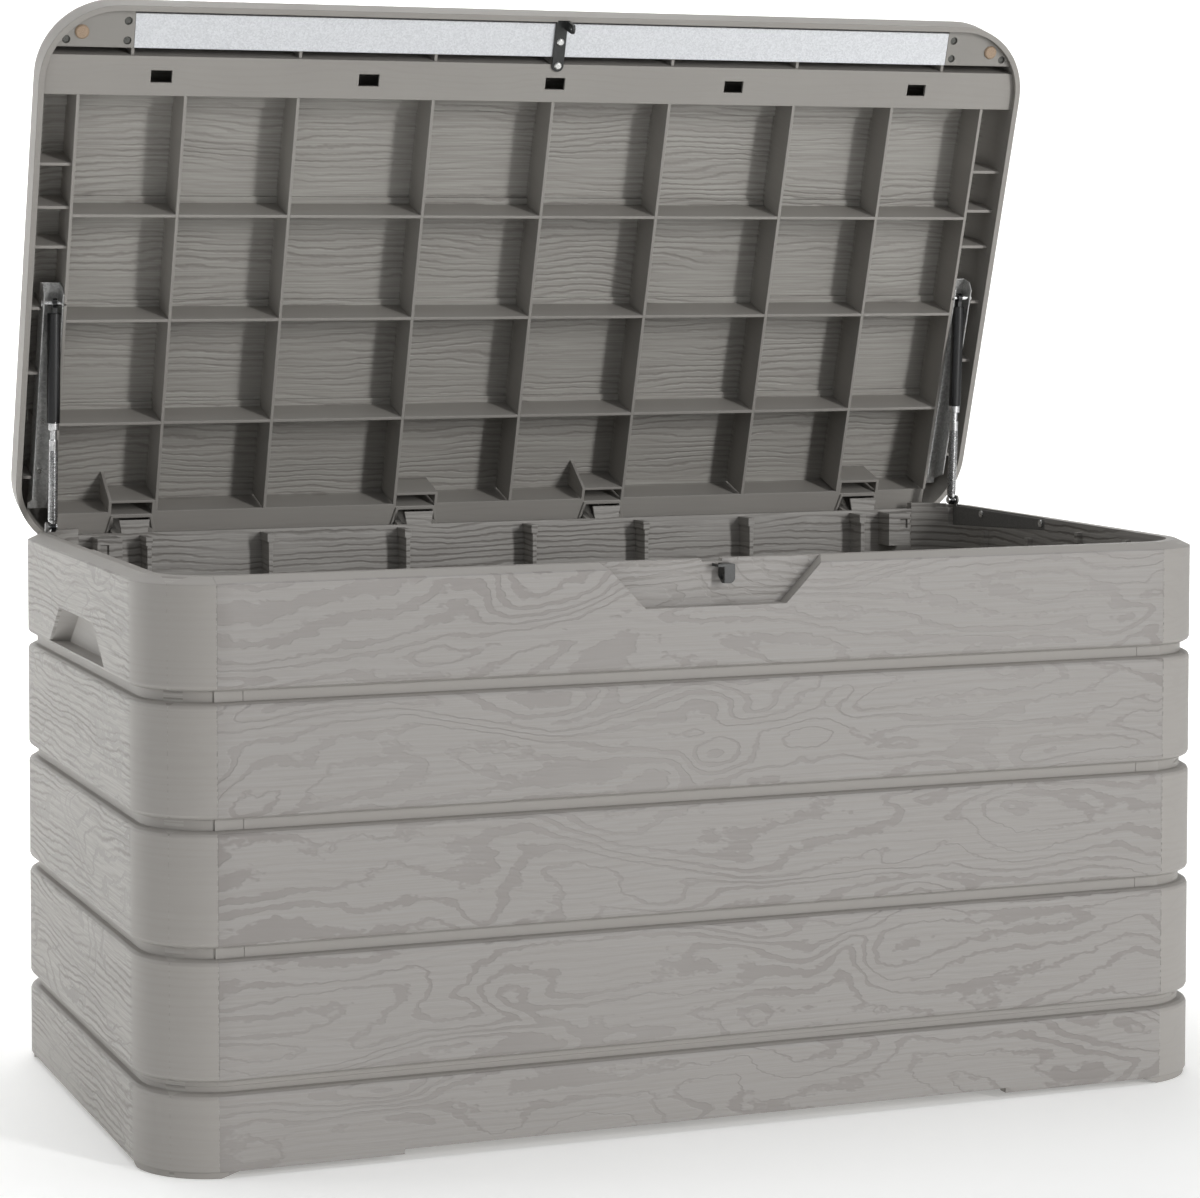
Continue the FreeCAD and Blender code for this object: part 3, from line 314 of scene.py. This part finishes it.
woodGrain = makeGrain(grainLook)
mouldHaze = makeHaze(mouldLook)
softEdge = makeEdge(mouldLook)
zincSpangle = makeSpangle(zincLook)
print("shared effects made")


# The box's plastic. Its planks are grained outside and finely lined inside; corners are smooth.

plasticLook = {
    "light": colour(152, 149, 146),
    "streak": colour(147, 143, 139),
    "band": colour(134, 129, 126),
    "smooth": colour(154, 150, 145),
    # painted light: a lighter copy of the same plastic's ground, laid on the box's ends and inner
    # faces
    "paintedLitGround": colour(169, 166, 161),
    "fineDark": colour(129, 125, 120),
    "toneEdge": (0.3, 0.7),
    "streakEdge": (0.25, 0.75),
    "ringShare": 0.4,         # how dark the rings are everywhere, and how much of it comes and goes
    "ringChange": 0.6,
    "plainChange": 0.3,       # how much the tone of the smooth parts changes
    "roughness": 0.50,
    "streakRoughness": 0.10,
    "bandGloss": -0.08,
    "rings": 8.5,
    "ringWidth": 0.25,
    "sideRings": 8.0,
    "sideWidth": 0.17,
    "frontFigure": 0.92,      # how much of the broad rings shows
    "sideFigure": 0.9,
    "frontLines": 0.22,       # and of the fine lines between them
    "sideLines": 1.0,
    "recessLines": 0.8,
    "leastGrain": 0.08,       # grain that is left on the smooth parts
    "pitRelief": 0.12,
    "pitDepth": 0.0001,
    "grainRelief": 0.8,
    "grainDepth": 0.0007,
}

# Where the box's faces lie, as distances from its middle or from the floor
boxFaces = {
    "cornerX": 0.531,         # the rounded corners start here, past a soft edge
    "cornerY": 0.235,
    "edgeX": 0.0015,
    "edgeY": 0.012,
    "outerX": 0.5972,
    "outerY": 0.3172,
    "innerX": 0.5752,
    "innerY": 0.2952,
    "recessX": 0.25,          # back wall of the grip recess
    "recessY": 0.303,
    "recessZ": 0.540,
    "recessReach": 0.0006,
    "firstPlank": 0.0905,
    "plankPitch": 0.127,
    "sidePlanks": 9.0,        # these keep the grain of the sides and the back apart
    "backPlanks": 5.0,
}


def plankRow(tree, value, user):
    return maths(tree, "FLOOR", maths(tree, "DIVIDE", minus(tree, value, user["firstPlank"]),
                                      user["plankPitch"]))


def finishPlastic(tree, shader, place, user, grain, weight, figure, lines, paintedLightMask=0.0):
    # weight: 1 where the plastic is grained, 0 where it is smooth; figure and lines: how much of
    # the broad rings and of the fine lines shows there; the last argument is 1 on the box's two
    # ends and its inner faces, which are given a lighter ground of the same plastic as painted
    # light
    haze = placeGroup(tree, mouldHaze, Vector=place)
    toneShift = ramp(tree, haze["Tone"], *user["toneEdge"])
    # painted light: the lighter ground goes on the box's ends and inner faces
    ground = mixColour(tree, paintedLightMask, user["light"], user["paintedLitGround"])
    lit = mixColour(tree, ramp(tree, grain["Streak"], *user["streakEdge"]), user["streak"], ground)
    shown = add(tree, user["ringShare"], times(tree, toneShift, user["ringChange"]))
    rings = times(tree, grain["Band"], figure, shown)
    fine = times(tree, minus(tree, 1.0, grain["Line"]), lines)
    dark = mixColour(tree, lines, user["band"], user["fineDark"])
    grained = mixColour(tree, most(tree, rings, fine), lit, dark)
    change = times(tree, toneShift, user["plainChange"])
    plain = mixColour(tree, change, user["smooth"], user["light"])
    feed(tree, shader.inputs["Base Color"], mixColour(tree, weight, plain, grained))
    gloss = times(tree, grain["Band"], weight, user["bandGloss"])
    streaks = times(tree, grain["Streak"], user["streakRoughness"])
    feed(tree, shader.inputs["Roughness"], add(tree, gloss, user["roughness"], streaks))
    edge = placeGroup(tree, softEdge)["Normal"]
    pitted = bump(tree, haze["Pit"], user["pitRelief"], user["pitDepth"], edge)
    height = times(tree, minus(tree, times(tree, grain["Height"], figure), fine), weight)
    feed(tree, shader.inputs["Normal"],
         bump(tree, height, user["grainRelief"], user["grainDepth"], pitted))


def bodyPlastic(user, faces):
    material, tree, shader, place = newMaterial("bodyPlastic")
    x, y, z = split(tree, place)
    absX = maths(tree, "ABSOLUTE", x)
    absY = maths(tree, "ABSOLUTE", y)
    onSide = above(tree, absX, faces["cornerX"])
    sideStep = times(tree, onSide, maths(tree, "SIGN", x), faces["sidePlanks"])
    backStep = times(tree, above(tree, y, 0.0), faces["backPlanks"], minus(tree, 1.0, onSide))
    grain = placeGroup(tree, woodGrain, Along=add(tree, x, y), Across=z,
                       Plank=add(tree, plankRow(tree, z, faces), add(tree, sideStep, backStep)),
                       Rings=mixValue(tree, onSide, user["rings"], user["sideRings"]),
                       Width=mixValue(tree, onSide, user["ringWidth"], user["sideWidth"]))

    outer = most(tree, above(tree, absX, faces["outerX"]), above(tree, absY, faces["outerY"]))
    inner = times(tree, below(tree, absX, faces["innerX"]), below(tree, absY, faces["innerY"]))
    corner = times(tree, ramp(tree, absX, faces["cornerX"], faces["cornerX"] + faces["edgeX"]),
                   ramp(tree, absY, faces["cornerY"], faces["cornerY"] + faces["edgeY"]))
    offRecess = maths(tree, "ABSOLUTE", minus(tree, absY, faces["recessY"]))
    recess = times(tree, below(tree, offRecess, faces["recessReach"]),
                   below(tree, absX, faces["recessX"]), above(tree, z, faces["recessZ"]))
    flat = times(tree, outer, minus(tree, 1.0, corner))
    weight = most(tree, flat, most(tree, inner, recess), user["leastGrain"])

    outside = mixValue(tree, onSide, user["frontLines"], user["sideLines"])
    lines = most(tree, inner, most(tree, times(tree, recess, user["recessLines"]), outside))
    figure = times(tree, minus(tree, 1.0, inner),
                   mixValue(tree, onSide, user["frontFigure"], user["sideFigure"]))
    # painted light: the box's ends and inner faces take the lighter ground
    paintedLightMask = most(tree, onSide, inner)
    finishPlastic(tree, shader, place, user, grain, weight, figure, lines, paintedLightMask)
    return material


lidLook = dict(plasticLook)
lidLook.update({
    # painted light: the cells between the ribs get a lighter ground than the walls' plastic, to
    # make up for the shade in these recessed, downward-facing cells
    "light": colour(169, 167, 161),
    "streak": colour(149, 145, 140),
    # painted shade: the ribs and rim get a darker smooth tone, as they stand out into more light
    "smooth": colour(149, 145, 140),
    "fineDark": colour(143, 139, 134),
    "firstPlank": -0.328,
    "plankPitch": 0.124,
    "plankOffset": 20.0,      # keeps the lid's grain apart from the walls'
    "skinZ": 0.640,           # the skin between the ribs, on the shut lid
    "skinEdge": 0.003,
    "topZ": 0.6495,
})


def lidPlastic(user):
    # the lid's pattern is laid out on the shut lid: the mapping turns it about the hinge to there
    material, tree, shader, place = newMaterial("lidPlastic")
    openAngle = math.radians(joints["lid_hinge"]["range_deg"][1])
    hingeY, hingeZ = joints["lid_hinge"]["pos_m"][1:]
    cosine, sine = math.cos(openAngle), math.sin(openAngle)
    turn = tree.nodes.new("ShaderNodeMapping")
    turn.inputs["Rotation"].default_value = (openAngle, 0.0, 0.0)
    turn.inputs["Location"].default_value = (0.0, hingeY - (cosine * hingeY - sine * hingeZ),
                                             hingeZ - (sine * hingeY + cosine * hingeZ))
    tree.links.new(place, turn.inputs["Vector"])
    x, y, z = split(tree, turn.outputs[0])
    grain = placeGroup(tree, woodGrain, Along=x, Across=y,
                       Plank=add(tree, plankRow(tree, y, user), user["plankOffset"]),
                       Rings=user["rings"], Width=user["ringWidth"])
    weight = most(tree, ramp(tree, z, user["skinZ"], user["skinZ"] + user["skinEdge"]),
                  user["leastGrain"])
    inside = below(tree, z, user["topZ"])
    finishPlastic(tree, shader, place, user, grain, weight, minus(tree, 1.0, inside), inside)
    return material


# The darker smooth plastic of the bar's end plates
capLook = dict(lidLook)
capLook.update({
    "light": colour(150, 147, 142),
    "smooth": colour(142, 139, 134),
    "band": colour(130, 127, 122),
    "leastGrain": 0.1,
    "plankOffset": 33.0,
})


def capPlastic(user):
    material, tree, shader, place = newMaterial("capPlastic")
    x, _, z = split(tree, place)
    grain = placeGroup(tree, woodGrain, Along=x, Across=z, Plank=user["plankOffset"])
    finishPlastic(tree, shader, place, user, grain, user["leastGrain"], 1.0, 0.0)
    return material


# Bare, plated or painted steel: dark and light tone, roughness, metal, grains per metre, coat
metals = {
    "barZinc": (colour(199, 201, 204), colour(230, 232, 235), 0.42, 0.3, 620.0, 0.0),
    "channelZinc": (colour(158, 158, 157), colour(214, 214, 212), 0.34, 0.6, 380.0, 0.0),
    "fastenerZinc": (colour(70, 70, 68), colour(110, 110, 106), 0.38, 0.8, 700.0, 0.0),
    "rivetZinc": (colour(196, 196, 194), colour(232, 232, 230), 0.24, 0.9, 800.0, 0.0),
    "sleeveZinc": (colour(120, 120, 120), colour(226, 226, 226), 0.26, 0.95, 900.0, 0.0),
    "latchBlack": (colour(30, 31, 30), colour(46, 47, 46), 0.42, 0.1, 900.0, 0.25),
    "bracketGrey": (colour(112, 111, 109), colour(130, 129, 126), 0.5, 0.2, 500.0, 0.0),
    "stayBlack": (colour(12, 12, 13), colour(24, 24, 26), 0.2, 0.2, 500.0, 0.3),
    "brightSteel": (colour(190, 190, 190), colour(235, 235, 235), 0.18, 1.0, 260.0, 0.0),
}


def makeMetal(name, user):
    dark, light, roughness, metallic, grains, coat = metals[name]
    material, tree, shader, place = newMaterial(name)
    zinc = placeGroup(tree, zincSpangle, Vector=place, Grains=grains)
    shade = add(tree, times(tree, zinc["Shade"], user["grainShare"]),
                times(tree, zinc["Speck"], user["speckShare"]))
    feed(tree, shader.inputs["Base Color"], mixColour(tree, shade, dark, light))
    glossy, dull = user["glossSpread"]
    feed(tree, shader.inputs["Roughness"],
         ramp(tree, zinc["Speck"], *user["speckEdge"], roughness + glossy, roughness + dull))
    shader.inputs["Metallic"].default_value = metallic
    shader.inputs["Coat Weight"].default_value = coat
    edge = placeGroup(tree, softEdge)["Normal"]
    feed(tree, shader.inputs["Normal"],
         bump(tree, zinc["Speck"], user["relief"], user["depth"], edge))
    return material


bumperLook = {
    "dark": colour(150, 128, 106),
    "light": colour(172, 150, 128),
    "pitEdge": (0.3, 0.7),
    "roughness": (0.55, 0.7),
    "relief": 0.2,
    "depth": 0.0002,
}


def bumperRubber(user):
    material, tree, shader, place = newMaterial("bumperRubber")
    pit = placeGroup(tree, mouldHaze, Vector=place)["Pit"]
    shade = ramp(tree, pit, *user["pitEdge"])
    feed(tree, shader.inputs["Base Color"], mixColour(tree, shade, user["dark"], user["light"]))
    feed(tree, shader.inputs["Roughness"], ramp(tree, pit, *user["pitEdge"], *user["roughness"]))
    edge = placeGroup(tree, softEdge)["Normal"]
    feed(tree, shader.inputs["Normal"], bump(tree, pit, user["relief"], user["depth"], edge))
    return material


finishes = {name: makeMetal(name, zincLook) for name in metals}
finishes.update({
    "bodyPlastic": bodyPlastic(plasticLook, boxFaces),
    "lidPlastic": lidPlastic(lidLook),
    "capPlastic": capPlastic(capLook),
    "bumperRubber": bumperRubber(bumperLook),
})

# Which nodes of the CAD get which finish; "both" stands for a left and a right one
nodeFinishes = {
    "bodyPlastic": ["base_tray", "front_panel", "back_panel", "left_panel", "right_panel"],
    "lidPlastic": ["lid_shell", "lid_long_ribs", "lid_cross_ribs"],
    "capPlastic": ["bar_end_cap_both"],
    "barZinc": ["stiffener_bar"],
    "channelZinc": ["stay_channel_both"],
    "fastenerZinc": ["panel_screws", "hinge_pins", "end_cap_screws"],
    "rivetZinc": ["channel_rivets", "bracket_rivets", "latch_rivets"],
    "latchBlack": ["latch_strap", "hasp_staple", "staple_rivet"],
    "bracketGrey": ["stay_bracket_both"],
    "stayBlack": ["stay_tube_both", "stay_rod_end_both"],
    "brightSteel": ["stay_gland_both", "stay_rod_both", "stay_piston_both", "stay_pin_both",
                    "stay_stud_both"],
    "bumperRubber": ["lid_bumpers"],
}
for finish, names in nodeFinishes.items():
    for name in names:
        for side in ("left", "right") if name.endswith("both") else ("",):
            for materialSlot in frame["nodes"][name.replace("both", side)].material_slots:
                materialSlot.material = finishes[finish]
print("materials assigned")


# Pieces that the CAD leaves out. Closed surfaces come from a loop of points carried round an axis.

def addPiece(name, points, faces, material, body):
    # the faces are turned so that they enclose a positive volume
    first, second, third, fourth = points[faces].transpose(1, 0, 2)
    volume = (first * (np.cross(second, third) + np.cross(third, fourth))).sum()
    if volume < 0:
        faces = faces[:, ::-1]
    mesh = bpy.data.meshes.new(name)
    mesh.from_pydata(points.tolist(), [], faces.tolist())
    mesh.polygons.foreach_set("use_smooth", [True] * len(mesh.polygons))
    mesh.materials.append(material)
    piece = bpy.data.objects.new(name, mesh)
    bpy.context.scene.collection.objects.link(piece)
    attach(piece, body)


def ringSurface(loop, start, axis, across, around):
    # the loop holds (distance along the axis, radius); it is closed on itself and carried round
    # the axis: point = start + distance * axis + radius * (cos * across + sin * side)
    side = np.cross(axis, across)
    turn = np.linspace(0.0, 2 * np.pi, around, endpoint=False)
    ring = np.cos(turn)[:, None] * across + np.sin(turn)[:, None] * side
    points = start + loop[None, :, 0:1] * axis + loop[None, :, 1:2] * ring[:, None, :]
    count = len(loop)
    i, j = np.meshgrid(np.arange(around), np.arange(count), indexing="ij")
    nextI, nextJ = (i + 1) % around, (j + 1) % count
    faces = np.stack([i * count + j, nextI * count + j, nextI * count + nextJ, i * count + nextJ],
                     axis=-1)
    return points.reshape(-1, 3), faces.reshape(-1, 4)


# Fine ribs round the sleeve on each stay's rod, from near its foot to where it enters the gland
sleeveRibs = {
    "footToPin": 0.25357,     # length of the open stay
    "first": 0.0078,          # distances from the foot
    "last": 0.0872,
    "pitch": 0.0016,
    "inner": 0.0050,
    "valley": 0.00522,
    "crest": 0.00562,
    "pointsPerRib": 8,
    "around": 28,
}


def makeSleeve(side, user):
    # the radius swells as a cosine between valley and crest, once for each rib
    pin = np.array(joints["stay_swing_" + side]["pos_m"])
    axis = np.array(joints["stay_slide_" + side]["axis"])
    foot = pin + axis * user["footToPin"]
    first, last = user["first"], user["last"]
    count = int(round((last - first) / user["pitch"])) * user["pointsPerRib"]
    along = np.linspace(first, last, count + 1)
    swell = 0.5 - 0.5 * np.cos(2 * np.pi * (along - first) / user["pitch"])
    radius = user["valley"] + (user["crest"] - user["valley"]) * swell
    outer = np.stack([along, radius], axis=-1)
    inner = np.array([[last, user["inner"]], [first, user["inner"]]])
    points, faces = ringSurface(np.concatenate([outer, inner]), foot, -axis,
                                np.array([1.0, 0.0, 0.0]), user["around"])
    addPiece("sleeve_ribs_" + side, points, faces, finishes["sleeveZinc"], "stay_plunger_" + side)


for side in ("left", "right"):
    makeSleeve(side, sleeveRibs)
print("sleeves made")


# The studio: a pale sweep, soft lights and the camera

studio = {
    "sweepWidth": 14.0,
    "sweepFront": -7.0,
    "sweepBack": 4.5,
    "sweepHeight": 6.0,
    "sweepRadius": 2.0,
    "sweepSteps": 24,
    "sweepColour": colour(244, 244, 243),
    "fleckColour": colour(247, 247, 246),
    "fleckScale": 40.0,
    "fleckEdge": (0.2, 0.8),
    "sweepRoughness": 0.9,
    "sweepGlow": 0.24,
    "worldColour": colour(238, 240, 242),
    "worldStrength": 0.32,
}


def makeSweep(user):
    # a flat floor that rises through a quarter circle into a wall: a profile in Y and Z, carried
    # along X
    turn = np.linspace(0.0, np.pi / 2, user["sweepSteps"])
    back, radius = user["sweepBack"], user["sweepRadius"]
    y = np.concatenate([[user["sweepFront"]], back + radius * np.sin(turn), [back + radius]])
    z = np.concatenate([[0.0], radius * (1 - np.cos(turn)), [user["sweepHeight"]]])
    x = np.array([-0.5, 0.5]) * user["sweepWidth"]
    count = len(y)
    points = np.stack([np.tile(x[:, None], (1, count)), np.tile(y, (2, 1)), np.tile(z, (2, 1))],
                      axis=-1)
    start = np.arange(count - 1)
    faces = np.stack([start, start + count, start + count + 1, start + 1], axis=-1)
    mesh = bpy.data.meshes.new("studioSweep")
    mesh.from_pydata(points.reshape(-1, 3).tolist(), [], faces.tolist())
    mesh.polygons.foreach_set("use_smooth", [True] * len(mesh.polygons))
    sweep = bpy.data.objects.new("studioSweep", mesh)
    bpy.context.scene.collection.objects.link(sweep)
    material, tree, shader, place = newMaterial("sweepPaper")
    fleck = ramp(tree, noise(tree, place, user["fleckScale"]), *user["fleckEdge"])
    feed(tree, shader.inputs["Base Color"],
         mixColour(tree, fleck, user["sweepColour"], user["fleckColour"]))
    shader.inputs["Roughness"].default_value = user["sweepRoughness"]
    shader.inputs["Emission Color"].default_value = user["sweepColour"]
    shader.inputs["Emission Strength"].default_value = user["sweepGlow"]
    mesh.materials.append(material)


# The lights: name, place, target, width and height, power
lights = [
    ("rightStrip", (3.0, -6.4, 2.2), (0.0, 0.0, 0.7), (0.6, 3.8), 262.0),
    ("leftRearSoftbox", (-3.6, 1.5, 1.5), (-0.6, 0.0, 0.4), (1.6, 1.8), 32.0),
    ("topSoftbox", (0.2, 0.1, 4.6), (0.0, 0.0, 0.0), (4.0, 3.0), 72.0),
    ("wallWash", (0.0, 3.4, 4.4), (0.0, 6.2, 1.2), (7.0, 0.8), 330.0),
]


def makeLight(name, place, target, size, power):
    lamp = bpy.data.lights.new(name, "AREA")
    lamp.shape = "RECTANGLE"
    lamp.size, lamp.size_y = size
    lamp.energy = power
    item = bpy.data.objects.new(name, lamp)
    item.location = place
    aim = np.array(target) - np.array(place)
    item.rotation_euler = (math.atan2(math.hypot(aim[0], aim[1]), -aim[2]), 0.0,
                           math.atan2(aim[1], aim[0]) - math.pi / 2)
    bpy.context.scene.collection.objects.link(item)


cameraView = {
    "place": (-1.376, -3.4964, 0.919),
    "yaw": -21.128,
    "pitch": -3.0,
    "focalLength": 100.88,
    "sensorWidth": 36.0,
    "shiftAcross": 0.0144,
    "shiftDown": 0.1478,
}


def makeCamera(user):
    lens = bpy.data.cameras.new("photoCamera")
    lens.lens = user["focalLength"]
    lens.sensor_width = user["sensorWidth"]
    lens.sensor_fit = "HORIZONTAL"
    lens.shift_x = user["shiftAcross"]
    lens.shift_y = -user["shiftDown"]
    item = bpy.data.objects.new("photoCamera", lens)
    item.location = user["place"]
    item.rotation_euler = (math.radians(90.0 + user["pitch"]), 0.0, math.radians(user["yaw"]))
    bpy.context.scene.collection.objects.link(item)
    bpy.context.scene.camera = item


def makeWorld(user):
    world = bpy.data.worlds.new("studioAir")
    world.use_nodes = True
    air = world.node_tree.nodes["Background"]
    air.inputs["Color"].default_value = user["worldColour"]
    air.inputs["Strength"].default_value = user["worldStrength"]
    bpy.context.scene.world = world


makeSweep(studio)
makeWorld(studio)
for light in lights:
    makeLight(*light)
makeCamera(cameraView)
bpy.context.scene.view_settings.view_transform = "Standard"
print("studio set")
